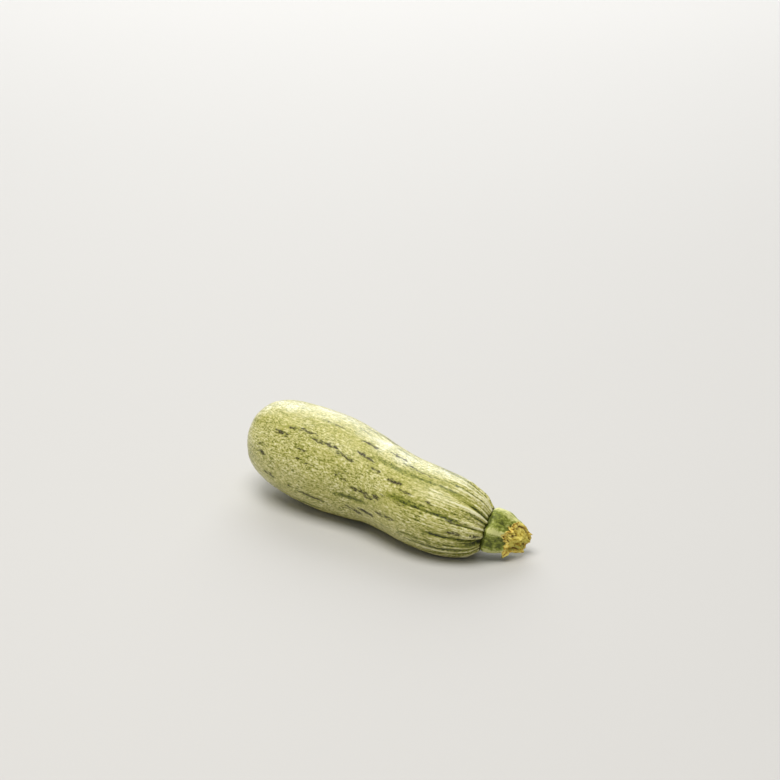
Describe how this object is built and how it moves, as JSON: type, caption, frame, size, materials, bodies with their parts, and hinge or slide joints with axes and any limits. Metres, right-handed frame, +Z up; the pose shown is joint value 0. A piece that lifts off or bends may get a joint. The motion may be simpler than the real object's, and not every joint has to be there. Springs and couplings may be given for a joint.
{
  "type": "zucchini",
  "caption": "Pale green speckled zucchini lying on its side, with a short thick ridged stem that ends in a torn, fibrous face.",
  "frame": {"origin": "middle of the bounding box's bottom face, on the surface that the zucchini lies on", "axes": "+X along the zucchini from the blossom end to the stem, +Z up, +Y to its left seen from the blossom end"},
  "size_m": [0.2144, 0.0708, 0.0655],
  "materials": {
    "fruit_skin": "satin",
    "stem_skin": "matte"
  },
  "bodies": {
    "root": {"fruit": "fruit_skin", "stem": "stem_skin"}
  },
  "joints": []
}
